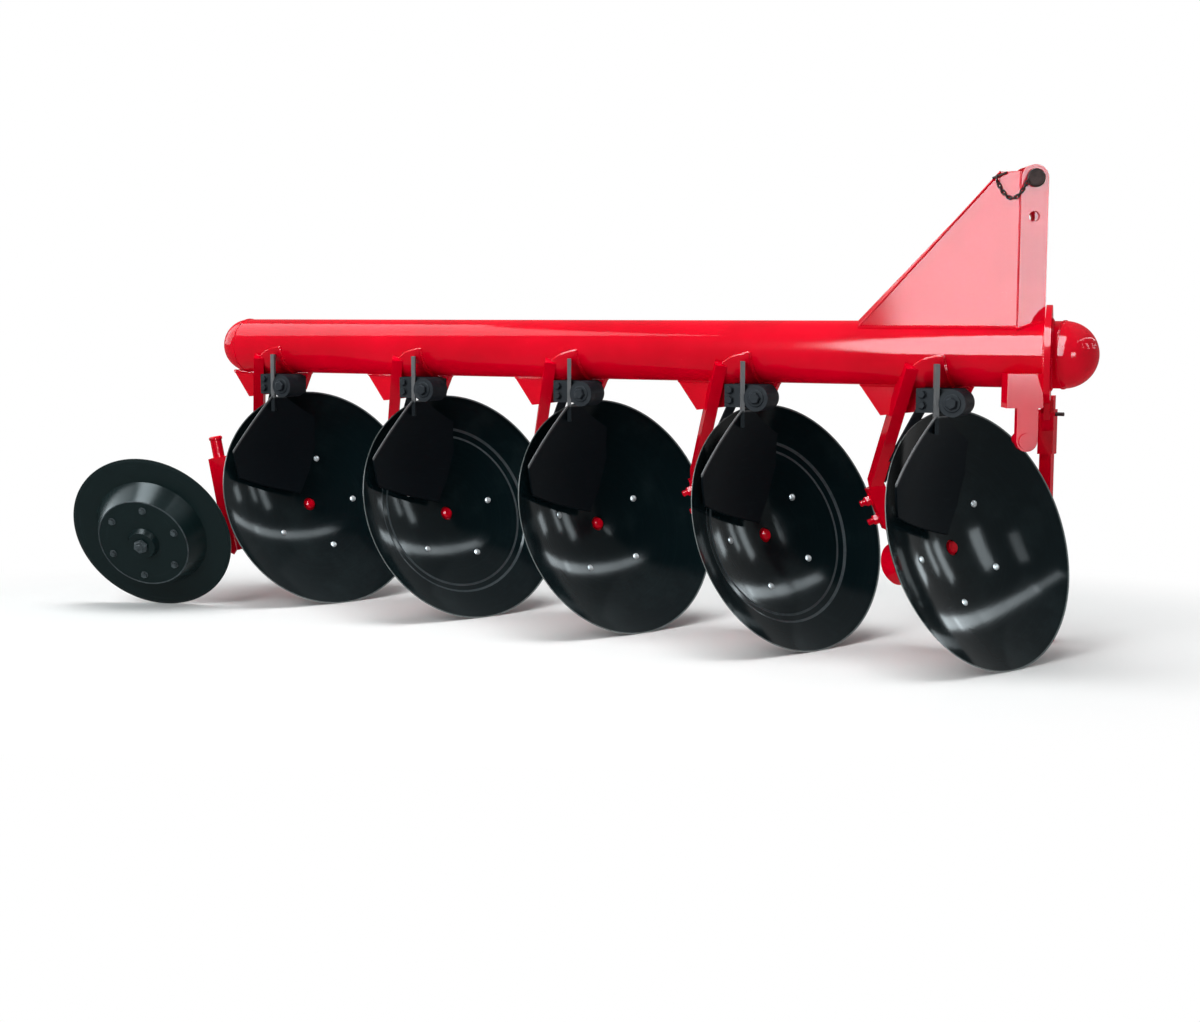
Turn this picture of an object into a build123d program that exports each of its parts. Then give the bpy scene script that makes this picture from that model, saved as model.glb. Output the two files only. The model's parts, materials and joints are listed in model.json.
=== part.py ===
"""Five-disc mounted plough: a pipe beam set askew to the direction of travel, with a leg, a bearing,
a free-turning concave disc and a scraper at each station, a three-point hitch and a parking stand
at its front, and a leaning furrow wheel at its rear.  Millimetres; +X is the direction of travel,
+Y the plough's left side, +Z up; the origin is on the floor under the middle of the whole plough."""
import os
from math import asin, cos, hypot, radians, sin, sqrt

from build123d import *

# Beam: a pipe with a dome at each end, past the stations of the rear and the front disc
pipe_diameter = 159.0
pipe_wall = 10.0
rear_overhang = 250.0
front_overhang = 198.0
under_beam_clearance = 60.16

# Discs: spherical dishes at even stations along the beam
disc_count = 5
disc_spacing = 508.0
cut_width = 250.0
disc_diameter = 660.0
disc_thickness = 6.0
disc_concavity = 96.0
disc_azimuth = 39.0
disc_tilt = 19.0
disc_side_offset = -30.0
disc_centre_hole = 40.0
disc_edge_bevel = 12.0
disc_edge_land = 2.0
ringed_discs = (2, 4)
ring_diameter = 465.0
ring_width = 25.0
ring_depth = 2.0
ring_slope = 5.0

# Hub and bearing on each disc's axis, measured back from the rim's plane
hub_flange_diameter = 320.0
hub_flange_edge = 12.0
hub_nose_diameter = 30.0
hub_nose_proud = 10.0
hub_nose_bevel = 5.0
hub_boss_diameter = 116.0
hub_boss_length = 36.0
spindle_diameter = 50.0
bearing_diameter = 110.0
bearing_length = 155.0
bearing_wall = 12.0
bearing_lip_diameter = 128.0
bearing_lip = 14.0

# Legs: saddle plate under the pipe, strap on its right side, upper bar to a knee, lower bar to the bearing
saddle_thickness = 20.0
strap_thickness = 8.0
leg_width = 30.0
leg_depth = 50.0
leg_top_setback = 154.0
leg_top_offset = 70.0
leg_top_drop = 23.0
knee_setback = 300.0
knee_side_offset = -85.0
knee_drop = 340.0
leg_foot_setback = 250.0
pad_width = 44.0
pad_depth = 60.0
pad_length = 112.0

# Outlines of the saddle plate and the strap: place along the beam from the disc's station, and drop below it
saddle_outline = [(-337, 40), (-252, 155), (-44, 130), (-2, 40)]
strap_outline = [(-178, 82), (-60, 82), (-70, 2), (-118, 14), (-158, 38)]

# Scrapers: a clamp on the saddle braced to the knee, an upright shank and a curved blade in the dish
clamp_setback = 80.0
clamp_width = 100.0
clamp_height = 58.0
clamp_reach = 98.0
clamp_drop = 82.0
knuckle_diameter = 66.0
knuckle_proud = 22.0
brace_width = 22.0
brace_thickness = 10.0
shank_setback = 78.0
shank_grip = 11.5
shank_thickness = 10.0
shank_width = 30.0
shank_top_drop = 23.0
shank_foot_rise = 262.33
blade_radius = 560.0
blade_thickness = 6.0

# Ends of the clamp's brace: setback from the station, offset to the right, drop below the pipe's axis
brace_top = (122, 42, 110)
brace_foot = (275, -70, 325)

# Blade: outline in the rim's plane, and three points of its curved sheet with their rise above the dish
blade_outline = [
    (-168, 292),
    (-288, 150),
    (-262, 78),
    (-40, 30),
    (-8, 95),
    (8, 165),
    (-6, 240),
    (-118, 294),
]
blade_top = (-152, 282, 76.0)
blade_left = (-288, 150, 26.0)
blade_foot = (-35, 30, 24.0)

# Three-point hitch, category 2
mast_height = 610.0
mast_setback = 46.4
mast_hole_spacing = 88.0
mast_pin_diameter = 25.0
mast_pin_head = 14.0
mast_pin_head_diameter = 36.0
mast_hole_diameter = 25.4
upright_width = 64.0
upright_thickness = 16.0
upright_gap = 56.0
fin_thickness = 12.0
fin_length = 459.0
fin_near_offset = 42.0
fin_far_offset = -20.0
fin_rise = 17.0
collar_setback = 38.0
collar_turn = 13.5
collar_thickness = 14.0
collar_diameter = 234.0
collar_tab_width = 60.0
collar_tab_drop = 153.0
lower_pin_drop = 200.0
lower_pin_setback = 17.0
lower_pin_diameter = 28.0
lower_pin_length = 70.0
lower_pin_shank = 32.0
lower_pin_head = 6.0
lower_pin_head_diameter = 39.0
lower_pin_span = 825.0
right_lug_offset = 87.2
lug_width = 49.0
lug_thickness = 25.0
hitch_block_length = 97.0
hitch_block_height = 80.0
hitch_block_drop = 123.0
hitch_block_width = 62.0
arm_width = 60.0
arm_height = 46.0
arm_root_setback = 242.0

# Parking stand: a square leg that slides in a sleeve on an arm from the collar
stand_ahead = 153.0
stand_left = 375.3
stand_leg_size = 31.0
stand_leg_spare = 36.0
sleeve_wall = 4.0
sleeve_drop = 267.0
sleeve_length = 116.0
foot_size = 54.0
foot_thickness = 10.0
stand_arm_size = 30.0
lock_pin_diameter = 10.0
lock_pin_length = 26.0
lock_pin_drop = 12.0

# Rear furrow wheel on a cranked axle held in a sleeve, placed from the rear disc's rim centre
wheel_diameter = 483.0
wheel_back = 478.0
wheel_right = 187.0
wheel_lean = (-0.175, -0.908, -0.377)
wheel_web = 8.0
wheel_cone_base = 338.0
wheel_cone_top = 272.0
wheel_cone_height = 58.0
wheel_cap_diameter = 96.0
wheel_cap_height = 16.0
wheel_barrel_diameter = 92.0
wheel_barrel_length = 95.0
axle_diameter = 32.0
axle_reach = 125.0
post_diameter = 34.0
post_sleeve_size = 54.0
post_sleeve_low = (-263.0, -63.0, -109.67)
post_sleeve_high = (-302.0, -63.0, 123.33)
post_below = 46.0
post_above = 60.0
wheel_arm_height = 56.0
wheel_arm_width = 34.0
wheel_arm_drop = 62.0

# Clearances
running_gap = 0.08
seat_gap = 0.2
slide_gap = 0.5

# Directions worked out from the sizes
beam_skew = asin(cut_width / disc_spacing)
along = Vector(cos(beam_skew), -sin(beam_skew), 0)
side = Vector(-sin(beam_skew), -cos(beam_skew), 0)
up = Vector(0, 0, 1)
travel = Vector(1, 0, 0)
azimuth = radians(disc_azimuth)
tilt = radians(disc_tilt)
disc_axis = Vector(sin(azimuth) * cos(tilt), -cos(azimuth) * cos(tilt), sin(tilt))
disc_across = up.cross(disc_axis).normalized()

pipe_radius = pipe_diameter / 2
pipe_length = rear_overhang + (disc_count - 1) * disc_spacing + front_overhang
disc_radius = disc_diameter / 2
disc_height = disc_radius * cos(tilt) + disc_edge_land * sin(tilt)
beam_height = 2 * disc_height + under_beam_clearance + pipe_radius
dish_radius = (disc_radius ** 2 + disc_concavity ** 2) / (2 * disc_concavity)
dish_centre = dish_radius - disc_concavity
stations = [rear_overhang - pipe_length / 2 + index * disc_spacing for index in range(disc_count)]
parts = {}


def at(station, offset, height):
    """Point at a station along the beam, an offset towards its right side, and a height."""
    return along * station + side * offset + up * height


def beam_plane(offset):
    """Upright plane along the beam: its x is the station and its y the height."""
    return Plane(origin=side * offset, x_dir=along, z_dir=side)


def travel_plane(y):
    """Upright plane along the direction of travel: its x is X and its y the height."""
    return Plane(origin=(0, y, 0), x_dir=(1, 0, 0), z_dir=(0, -1, 0))


def disc_plane(station):
    """The rim's plane of the disc at a station: its z is the disc's axis, out of the hollow side."""
    return Plane(origin=at(station, disc_side_offset, disc_height), x_dir=disc_across, z_dir=disc_axis)


def plate(plane, points, thickness):
    """Flat plate of an outline on a plane, its thickness centred on the plane."""
    return plane * extrude(Polygon(*points, align=None), thickness / 2, both=True)


def bar(start, end, width, depth, across):
    """Square-edged bar from one point to another; its width lies along the direction across."""
    run = end - start
    body = Box(width, depth, run.length, align=(Align.CENTER, Align.CENTER, Align.MIN))
    return Plane(origin=start, x_dir=across, z_dir=run) * body


def rod(start, end, diameter):
    """Round rod from one point to another."""
    run = end - start
    body = Cylinder(diameter / 2, run.length, align=(Align.CENTER, Align.CENTER, Align.MIN))
    return Plane(origin=start, z_dir=run) * body


def turned(lines):
    """Solid turned about Z from a closed outline of radius and height."""
    return revolve(Plane.XZ * make_face(lines), Axis.Z)


def pipe_cutter(gap):
    """Solid rod over the whole beam, a gap wider than the pipe, to cut what is fitted to it."""
    reach = pipe_length / 2 + pipe_diameter
    return rod(at(-reach, 0, beam_height), at(reach, 0, beam_height), pipe_diameter + 2 * gap)


def ball_height(radius, out):
    """Height of the dish's sphere of a given radius at a distance out from the disc's axis."""
    return dish_centre - sqrt(radius ** 2 - out ** 2)


# Beam
half_pipe = pipe_length / 2
pipe = Cylinder(pipe_radius, pipe_length) - Cylinder(pipe_radius - pipe_wall, pipe_length)
dome = Sphere(pipe_radius) - Sphere(pipe_radius - pipe_wall)
dome = split(dome, Plane.XY, keep=Keep.TOP)
parts["beam_pipe"] = Plane(origin=at(0, 0, beam_height), z_dir=along) * pipe
parts["beam_dome_front"] = Plane(origin=at(half_pipe, 0, beam_height), z_dir=along) * dome
parts["beam_dome_rear"] = Plane(origin=at(-half_pipe, 0, beam_height), z_dir=-along) * dome

# Disc: a dish with a bevelled rim and a centre hole
back_radius = dish_radius + disc_thickness
hole_radius = disc_centre_hole / 2
bevel_radius = disc_radius - disc_edge_bevel


def arc(radius, inner, outer):
    """Arc of the dish's sphere between two distances from the axis."""
    middle = (inner + outer) / 2
    return ThreePointArc(
        (inner, ball_height(radius, inner)),
        (middle, ball_height(radius, middle)),
        (outer, ball_height(radius, outer)),
    )


face_arc = arc(dish_radius, hole_radius, disc_radius)
back_arc = arc(back_radius, hole_radius, bevel_radius)
rim_edge = Polyline(face_arc @ 1, (disc_radius, -disc_edge_land), back_arc @ 1)
hole_edge = Line(face_arc @ 0, back_arc @ 0)
disc = turned([face_arc, rim_edge, back_arc, hole_edge])

# Pressed ring in the hollow face of some discs: a shallow groove with sloping sides
ring_inner = (ring_diameter - ring_width) / 2
ring_outer = (ring_diameter + ring_width) / 2
ring_floor = arc(dish_radius + ring_depth, ring_inner + ring_slope, ring_outer - ring_slope)
ring_mouth = Polyline(
    ring_floor @ 1,
    (ring_outer, ball_height(dish_radius, ring_outer)),
    (ring_outer, ball_height(dish_radius, ring_outer) + ring_depth),
    (ring_inner, ball_height(dish_radius, ring_inner) + ring_depth),
    (ring_inner, ball_height(dish_radius, ring_inner)),
    ring_floor @ 0,
)
ringed_disc = disc - turned([ring_floor, ring_mouth])

# Hub: a dished flange on the disc's back, a nose through its hole and a spindle behind
seat_radius = back_radius + seat_gap
nose_radius = hub_nose_diameter / 2
flange_radius = hub_flange_diameter / 2
nose_tip = hub_nose_proud - disc_concavity
boss_back = -disc_concavity - hub_boss_length
bearing_front = boss_back - slide_gap
bearing_back = bearing_front - bearing_length
spindle_end = bearing_back + bearing_wall + slide_gap
flange_arc = arc(seat_radius, nose_radius, flange_radius)
hub_outline = Polyline(
    flange_arc @ 1,
    (flange_radius, ball_height(seat_radius, flange_radius) - hub_flange_edge),
    (hub_boss_diameter / 2, boss_back + hub_flange_edge),
    (hub_boss_diameter / 2, boss_back),
    (spindle_diameter / 2, boss_back),
    (spindle_diameter / 2, spindle_end),
    (0, spindle_end),
    (0, nose_tip),
    (nose_radius - hub_nose_bevel, nose_tip),
    (nose_radius, nose_tip - hub_nose_bevel),
    flange_arc @ 0,
)
hub = turned([flange_arc, hub_outline])

# Bearing: a closed housing with a lip at its mouth
bore_radius = spindle_diameter / 2 + running_gap
bearing = turned(
    Polyline(
        (bore_radius, bearing_front),
        (bearing_lip_diameter / 2, bearing_front),
        (bearing_lip_diameter / 2, bearing_front - bearing_lip),
        (bearing_diameter / 2, bearing_front - bearing_lip),
        (bearing_diameter / 2, bearing_back),
        (0, bearing_back),
        (0, bearing_back + bearing_wall),
        (bore_radius, bearing_back + bearing_wall),
        close=True,
    )
)
bearing_cutter = Pos(0, 0, bearing_front) * Cylinder(
    bearing_diameter / 2 + seat_gap,
    bearing_length + bearing_wall,
    align=(Align.CENTER, Align.CENTER, Align.MAX),
)


def sheet_centre(first, second, third, radius):
    """Centre of the ball of a given radius through three points, on the discs' open side."""
    edge_a = second - first
    edge_b = third - first
    normal = edge_a.cross(edge_b)
    middle = normal.cross(edge_a) * edge_b.dot(edge_b) + edge_b.cross(normal) * edge_a.dot(edge_a)
    middle = middle * (1 / (2 * normal.dot(normal)))
    upright = normal.normalized()
    if upright.Z < 0:
        upright = -upright
    return first + middle + upright * sqrt(radius ** 2 - middle.dot(middle))


sheet_points = [
    Vector(x, y, ball_height(dish_radius, hypot(x, y)) + rise)
    for x, y, rise in (blade_top, blade_left, blade_foot)
]
ball = sheet_centre(*sheet_points, blade_radius)
sheet = Pos(ball) * (Sphere(blade_radius) - Sphere(blade_radius - blade_thickness))
blade_stamp = extrude(Pos(0, 0, -disc_concavity) * Polygon(*blade_outline, align=None), 2 * disc_concavity)
blade = sheet & blade_stamp


def leg_line(station):
    """Top on the pipe's right side, knee and foot at the bearing, of the leg at a station."""
    top = at(station - leg_top_setback, leg_top_offset, beam_height - leg_top_drop)
    knee = at(station - knee_setback, knee_side_offset, beam_height - knee_drop)
    foot = disc_plane(station).origin - disc_axis * leg_foot_setback
    return top, knee, foot


def outlined(station, outline):
    """Outline of setbacks and drops as points on a beam plane, at a station."""
    return [(station + x, beam_height - drop) for x, drop in outline]


def braced(station, end):
    """Point of a brace's end, given as setback, offset and drop, at a station."""
    setback, offset, drop = end
    return at(station - setback, offset, beam_height - drop)


cutter = pipe_cutter(seat_gap)
strap_cutter = pipe_cutter(seat_gap + strap_thickness)
shank_along = (shank_thickness * cos(beam_skew) + shank_width * sin(beam_skew)) / 2
shank_across = (shank_thickness * sin(beam_skew) + shank_width * cos(beam_skew)) / 2
shank_offset = clamp_reach + shank_across - shank_grip
clamp_top = beam_height - clamp_drop
knuckle_setback = shank_setback - shank_along - knuckle_diameter / 2 - seat_gap
for index, station in enumerate(stations):
    number = index + 1
    rim = disc_plane(station)
    parts[f"disc_{number}"] = rim * (ringed_disc if number in ringed_discs else disc)
    parts[f"hub_{number}"] = rim * hub
    parts[f"bearing_{number}"] = rim * bearing

    top, knee, foot = leg_line(station)
    saddle = plate(beam_plane(0), outlined(station, saddle_outline), saddle_thickness)
    strap_depth = pipe_radius + 2 * strap_thickness
    strap = plate(beam_plane(pipe_radius / 2), outlined(station, strap_outline), strap_depth) & strap_cutter
    leg = saddle + strap + bar(top, knee, leg_width, leg_depth, travel)
    leg += bar(knee, foot, leg_width, leg_depth, travel)
    leg += bar(knee, knee + (foot - knee).normalized() * pad_length, pad_width, pad_depth, travel)
    leg = leg - cutter - rim * bearing_cutter
    parts[f"leg_{number}"] = leg

    shank_low = at(station - shank_setback, shank_offset, disc_height + shank_foot_rise)
    shank_high = at(station - shank_setback, shank_offset, beam_height - shank_top_drop)
    shank = bar(shank_low, shank_high, shank_thickness, shank_width, travel)
    parts[f"scraper_{number}"] = shank + rim * blade

    clamp_middle = at(station - clamp_setback, saddle_thickness / 2, clamp_top - clamp_height / 2)
    clamp = Plane(origin=clamp_middle, x_dir=along, z_dir=side) * Box(
        clamp_width,
        clamp_height,
        clamp_reach - saddle_thickness / 2,
        align=(Align.CENTER, Align.CENTER, Align.MIN),
    )
    knuckle_low = at(station - knuckle_setback, clamp_reach / 2, clamp_top - knuckle_diameter / 2)
    knuckle = rod(knuckle_low, knuckle_low + side * (clamp_reach / 2 + knuckle_proud), knuckle_diameter)
    brace = bar(braced(station, brace_top), braced(station, brace_foot), brace_width, brace_thickness, travel)
    parts[f"scraper_clamp_{number}"] = clamp + knuckle + brace - strap_cutter - shank - leg

# Mast: two uprights with pin holes, a strip between them and a pair of fins back along the pipe
collar_station = pipe_length / 2 - collar_setback
lower_pin_height = beam_height - lower_pin_drop
mast_pin_height = lower_pin_height + mast_height
mast_pin_x = collar_station * cos(beam_skew) - mast_setback
mast_y = -mast_pin_x * sin(beam_skew) / cos(beam_skew)
upright_rear = mast_pin_x - upright_width / 2
upright_low = beam_height + pipe_radius / 2
upright_side = upright_gap / 2 + upright_thickness / 2
upright = Pos(mast_pin_x, mast_pin_height) * Circle(upright_width / 2)
upright += Pos(mast_pin_x, (mast_pin_height + upright_low) / 2) * Rectangle(
    upright_width, mast_pin_height - upright_low
)
for drop in (0, mast_hole_spacing):
    upright -= Pos(mast_pin_x, mast_pin_height - drop) * Circle(mast_hole_diameter / 2)
for name, y in (("right", mast_y - upright_side), ("left", mast_y + upright_side)):
    body = travel_plane(y) * extrude(upright, upright_thickness / 2, both=True)
    parts[f"mast_upright_{name}"] = body - cutter
strip_top = mast_pin_height - mast_hole_spacing - upright_width
strip = Pos(upright_rear + fin_thickness / 2, mast_y, (strip_top + beam_height) / 2) * Box(
    fin_thickness, upright_gap, strip_top - beam_height
)
parts["mast_strip"] = strip - cutter
fin_rear = collar_station - fin_length
fin_top = mast_pin_height + fin_rise
fin_outline = [
    (fin_rear, beam_height),
    (fin_rear, beam_height + pipe_radius),
    (fin_rear + fin_top - beam_height - pipe_radius, fin_top),
    (collar_station, fin_top),
    (collar_station, beam_height),
]
ahead = Pos(upright_rear, 0, 0) * Box(
    2 * pipe_length, 2 * pipe_length, 4 * beam_height, align=(Align.MIN, Align.CENTER, Align.CENTER)
)
for name, offset in (("right", fin_near_offset), ("left", fin_far_offset)):
    parts[f"mast_fin_{name}"] = plate(beam_plane(offset), fin_outline, fin_thickness) - ahead - cutter
pin_end = mast_y + upright_gap / 2 + 2 * upright_thickness
pin_head = mast_y - upright_gap / 2 - upright_thickness
pin_level = mast_pin_height
mast_pin = rod(
    Vector(mast_pin_x, pin_head, pin_level), Vector(mast_pin_x, pin_end, pin_level), mast_pin_diameter
)
mast_pin += rod(
    Vector(mast_pin_x, pin_head - mast_pin_head, pin_level),
    Vector(mast_pin_x, pin_head, pin_level),
    mast_pin_head_diameter,
)
parts["mast_pin"] = mast_pin

# Collar plate round the pipe, turned back towards the travel, with a tab that carries the stand
collar_tab_bottom = beam_height - collar_tab_drop
collar_skew = beam_skew - radians(collar_turn)
collar_ahead = Vector(cos(collar_skew), -sin(collar_skew), 0)
collar_left = Vector(sin(collar_skew), cos(collar_skew), 0)
collar = Pos(0, beam_height) * Circle(collar_diameter / 2)
collar += Pos(0, (beam_height + collar_tab_bottom) / 2) * Rectangle(
    collar_tab_width, beam_height - collar_tab_bottom
)
collar_face = Plane(origin=along * collar_station, x_dir=collar_left, z_dir=collar_ahead)
parts["collar_plate"] = collar_face * extrude(collar, collar_thickness / 2, both=True) - cutter

# Lower hitch: a block under the pipe with the right lug, and an arm to the left lug
hitch_block_bottom = beam_height - hitch_block_drop
lower_pin_x = mast_pin_x - lower_pin_setback
pin_from_lug = lug_thickness / 2 + lower_pin_length / 2
right_lug_y = mast_y - right_lug_offset
left_lug_y = right_lug_y + lower_pin_span
right_pin_y = right_lug_y + pin_from_lug
left_pin_y = left_lug_y + pin_from_lug
block_middle = hitch_block_bottom + hitch_block_height / 2
block = Pos(lower_pin_x, right_lug_y - lug_thickness / 2, block_middle) * Box(
    hitch_block_length,
    hitch_block_width,
    hitch_block_height,
    align=(Align.CENTER, Align.MIN, Align.CENTER),
)
collar_back = along * collar_station - collar_ahead * (collar_thickness / 2)
collar_rear = Plane(origin=collar_back, x_dir=collar_left, z_dir=collar_ahead)
before_collar = collar_rear * Box(
    4 * pipe_length, 4 * beam_height, pipe_length, align=(Align.CENTER, Align.CENTER, Align.MIN)
)
parts["hitch_block"] = block - cutter - before_collar


def lug(y, top):
    """Hanging lug with a round end about the lower pin, and the pin's hole."""
    outline = Pos(lower_pin_x, lower_pin_height) * Circle(lug_width / 2)
    outline += Pos(lower_pin_x, (lower_pin_height + top) / 2) * Rectangle(lug_width, top - lower_pin_height)
    outline -= Pos(lower_pin_x, lower_pin_height) * Circle(lower_pin_shank / 2 + seat_gap)
    return travel_plane(y) * extrude(outline, lug_thickness / 2, both=True)


def lower_pin(lug_y):
    """Pin with its shank in a lug, a head on the lug's right side and a free end on its left side."""
    right_face = Vector(lower_pin_x, lug_y - lug_thickness / 2, lower_pin_height)
    left_face = right_face + Vector(0, lug_thickness, 0)
    pin = rod(right_face - Vector(0, lower_pin_head, 0), right_face, lower_pin_head_diameter)
    pin += rod(right_face, left_face, lower_pin_shank)
    return pin + rod(left_face, left_face + Vector(0, lower_pin_length, 0), lower_pin_diameter)


arm_root = at(collar_station - arm_root_setback, -saddle_thickness / 2, hitch_block_bottom + arm_height / 2)
arm_tip = Vector(lower_pin_x, left_lug_y - lug_thickness / 2, arm_root.Z)
arm_run = (arm_tip - arm_root).normalized()
arm = bar(arm_root - arm_run * arm_width, arm_tip + arm_run * arm_width, arm_width, arm_height, along)
lug_face = Pos(0, left_lug_y - lug_thickness / 2, 0) * Box(
    2 * pipe_length, 2 * pipe_length, 4 * beam_height, align=(Align.CENTER, Align.MIN, Align.CENTER)
)
saddle_face = beam_plane(-saddle_thickness / 2) * Box(
    4 * pipe_length, 4 * beam_height, pipe_length, align=(Align.CENTER, Align.CENTER, Align.MIN)
)
parts["left_hitch_arm"] = arm - lug_face - saddle_face - cutter
parts["lower_lug_right"] = lug(right_lug_y, hitch_block_bottom)
parts["lower_lug_left"] = lug(left_lug_y, arm_root.Z + arm_height / 2)
parts["lower_pin_right"] = lower_pin(right_lug_y)
parts["lower_pin_left"] = lower_pin(left_lug_y)

# Parking stand
stand_x = mast_pin_x + stand_ahead
stand_y = mast_y + stand_left
sleeve_bore = stand_leg_size + 2 * slide_gap
sleeve_size = sleeve_bore + 2 * sleeve_wall
sleeve_bottom = beam_height - sleeve_drop
sleeve_top = sleeve_bottom + sleeve_length


def stand_post(size, low, high):
    """Square post on the stand's line, turned with the beam, between two heights."""
    return bar(Vector(stand_x, stand_y, low), Vector(stand_x, stand_y, high), size, size, along)


sleeve_solid = stand_post(sleeve_size, sleeve_bottom, sleeve_top)
lock_start = Vector(stand_x, stand_y, sleeve_top - lock_pin_drop) + along * (sleeve_bore / 2)
lock_end = lock_start + along * lock_pin_length
lock_hole = rod(lock_start, lock_end, lock_pin_diameter + 2 * seat_gap)
parts["stand_sleeve"] = sleeve_solid - stand_post(sleeve_bore, sleeve_bottom, sleeve_top) - lock_hole
parts["stand_lock_pin"] = rod(lock_start, lock_end, lock_pin_diameter)
parts["stand_leg"] = stand_post(stand_leg_size, 0, sleeve_top + stand_leg_spare) + stand_post(
    foot_size, 0, foot_thickness
)
tab_edge = at(collar_station, 0, collar_tab_bottom + stand_arm_size) + collar_left * (collar_tab_width / 4)
sleeve_middle = Vector(stand_x, stand_y, sleeve_bottom + sleeve_length / 2 + stand_arm_size / 2)
arm_stop = sleeve_middle - (sleeve_middle - tab_edge).normalized() * (sleeve_size / 4)
stand_arm = bar(tab_edge, arm_stop, stand_arm_size, stand_arm_size, travel)
parts["stand_arm"] = stand_arm - parts["collar_plate"] - sleeve_solid

# Rear furrow wheel
outward = Vector(*wheel_lean).normalized()
wheel_radius = wheel_diameter / 2
wheel_height = wheel_radius * sqrt(1 - outward.Z ** 2) + outward.Z * wheel_web / 4
rear_rim = disc_plane(stations[0]).origin
wheel_plane = Plane(
    origin=(rear_rim.X - wheel_back, rear_rim.Y - wheel_right, wheel_height),
    x_dir=up.cross(outward).normalized(),
    z_dir=outward,
)
cone_low = wheel_cone_base / 2
cone_high = wheel_cone_top / 2
barrel_radius = wheel_barrel_diameter / 2
axle_hole = axle_diameter / 2 + running_gap
cap_radius = wheel_cap_diameter / 2
wheel = turned(
    Polyline(
        (0, wheel_cone_height + wheel_cap_height),
        (cap_radius - wheel_web, wheel_cone_height + wheel_cap_height),
        (cap_radius, wheel_cone_height),
        (cone_high, wheel_cone_height),
        (cone_low, 0),
        (wheel_radius - wheel_web, 0),
        (wheel_radius, -wheel_web / 4),
        (wheel_radius, -wheel_web * 3 / 4),
        (wheel_radius - wheel_web, -wheel_web),
        (cone_low - wheel_web / 2, -wheel_web),
        (cone_high - wheel_web / 2, wheel_cone_height - wheel_web),
        (barrel_radius, wheel_cone_height - wheel_web),
        (barrel_radius, -wheel_barrel_length),
        (axle_hole, -wheel_barrel_length),
        (axle_hole, wheel_cone_height),
        (0, wheel_cone_height),
        close=True,
    )
)
parts["furrow_wheel"] = wheel_plane * wheel

sleeve_low = rear_rim + Vector(*post_sleeve_low)
sleeve_high = rear_rim + Vector(*post_sleeve_high)
post_run = (sleeve_high - sleeve_low).normalized()
post_bottom = sleeve_low - post_run * post_below
post_sleeve_solid = bar(sleeve_low, sleeve_high, post_sleeve_size, post_sleeve_size, Vector(0, 1, 0))
post_hole = rod(sleeve_low, sleeve_high, post_diameter + 2 * seat_gap)
parts["wheel_sleeve"] = post_sleeve_solid - post_hole
axle_start = wheel_plane.origin + outward * (wheel_cone_height - slide_gap)
axle_end = wheel_plane.origin - outward * axle_reach
crank = rod(post_bottom, sleeve_high + post_run * post_above, post_diameter)
crank += rod(post_bottom, axle_end, post_diameter) + Pos(post_bottom) * Sphere(post_diameter / 2)
crank += rod(axle_end, axle_start, axle_diameter) + Pos(axle_end) * Sphere(post_diameter / 2)
parts["wheel_crank"] = crank
_, rear_knee, rear_foot = leg_line(stations[0])
lower_bar = (rear_foot - rear_knee).normalized()
bar_middle = rear_knee - lower_bar * (wheel_arm_drop / lower_bar.Z)
post_middle = sleeve_low + post_run * ((bar_middle.Z - sleeve_low.Z) / post_run.Z)
wheel_arm_run = (post_middle - bar_middle).normalized()
arm_start = bar_middle + wheel_arm_run * (pad_depth / 4)
arm_end = post_middle - wheel_arm_run * (post_sleeve_size / 4)
wheel_arm = bar(arm_start, arm_end, wheel_arm_width, wheel_arm_height, along)
parts["wheel_arm"] = wheel_arm - parts["leg_1"] - post_sleeve_solid

# Stand the whole plough on the floor with the origin under its middle
box = Compound(children=[Compound(body.solids()) for body in parts.values()]).bounding_box()
home = Pos(-(box.min.X + box.max.X) / 2, -(box.min.Y + box.max.Y) / 2, -box.min.Z)


def tell(label, point):
    """Print a point of the finished model in metres."""
    place = home * Pos(*point)
    print(label, [round(value / 1000, 5) for value in place.position])


os.makedirs("parts", exist_ok=True)
for name, body in parts.items():
    placed = home * body
    solids = placed.solids()
    export_step(solids[0] if len(solids) == 1 else Compound(children=solids), f"parts/{name}.step")

print("box", box.min, box.max, "shift", home.position)
print("disc axis", disc_axis, "wheel axis", outward)
for index, station in enumerate(stations):
    tell(f"disc_{index + 1}", disc_plane(station).origin)
tell("wheel", wheel_plane.origin)
tell("stand", (stand_x, stand_y, 0))
tell("mast pin", (mast_pin_x, mast_y, mast_pin_height))
tell("mast hole", (mast_pin_x, mast_y, mast_pin_height - mast_hole_spacing))
tell("right pin", (lower_pin_x, right_pin_y, lower_pin_height))
tell("left pin", (lower_pin_x, left_pin_y, lower_pin_height))
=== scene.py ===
"""Looks of a five-disc plough: enamel, black dishes, welds, fasteners, a pin chain and a white studio.

Metres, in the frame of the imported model: +X is the direction of travel, +Y the plough's left, +Z up."""

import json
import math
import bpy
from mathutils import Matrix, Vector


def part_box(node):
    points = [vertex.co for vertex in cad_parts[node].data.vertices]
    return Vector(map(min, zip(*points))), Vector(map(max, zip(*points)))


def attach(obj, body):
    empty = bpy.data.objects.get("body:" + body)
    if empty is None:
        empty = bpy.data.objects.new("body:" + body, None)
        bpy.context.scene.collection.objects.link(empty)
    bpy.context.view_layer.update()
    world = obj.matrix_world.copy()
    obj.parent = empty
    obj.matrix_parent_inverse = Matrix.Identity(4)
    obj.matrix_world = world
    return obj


bl_info = {
    "name": "Disc plough looks",
    "version": (1, 0, 0),
    "blender": (4, 5, 0),
    "location": "3D View > Sidebar > Plough",
    "description": "Dresses a five-disc plough in paint, welds and fasteners and sets up its studio",
    "category": "Object",
}

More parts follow.
